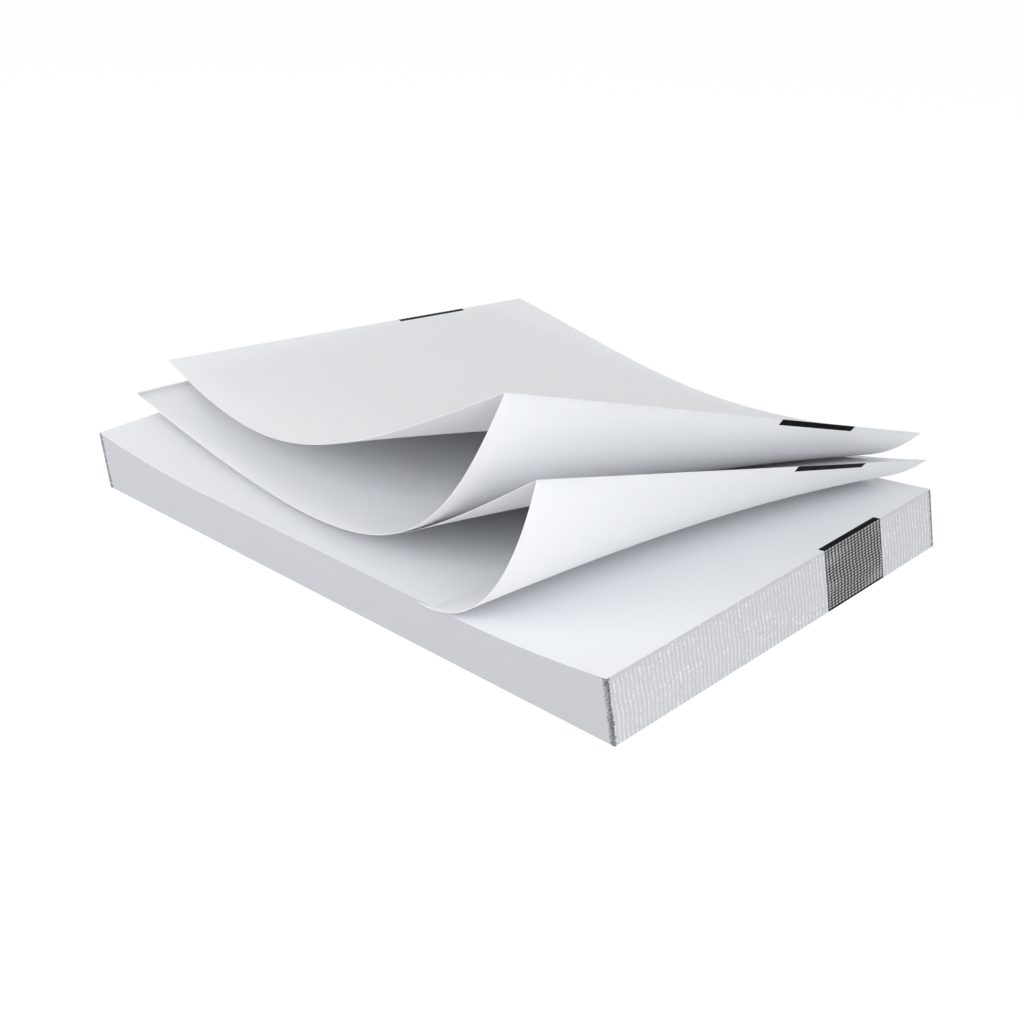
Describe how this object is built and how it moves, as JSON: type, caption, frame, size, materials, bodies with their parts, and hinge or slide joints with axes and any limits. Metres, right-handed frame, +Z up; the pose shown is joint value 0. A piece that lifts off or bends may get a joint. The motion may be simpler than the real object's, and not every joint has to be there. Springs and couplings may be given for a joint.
{
  "type": "stack of fanfold paper",
  "caption": "Block of white thermal fanfold chart paper, folded to and fro from one web, with its last panels drawn up and fanned open.",
  "frame": {"origin": "on the block's flat underside, at the middle of the whole part's box in X and Y", "axes": "+X across the paper, from the cut side that is fanned open to the other cut side; +Y along the panels, from the front fold face to the back; +Z up through the stack"},
  "size_m": [0.268, 0.331, 0.1152],
  "materials": {
    "thermal_paper": "smooth coated white thermal paper, matt, with black printed marks across the folds"
  },
  "bodies": {
    "root": {"fanfold_web": "thermal_paper"}
  },
  "joints": []
}
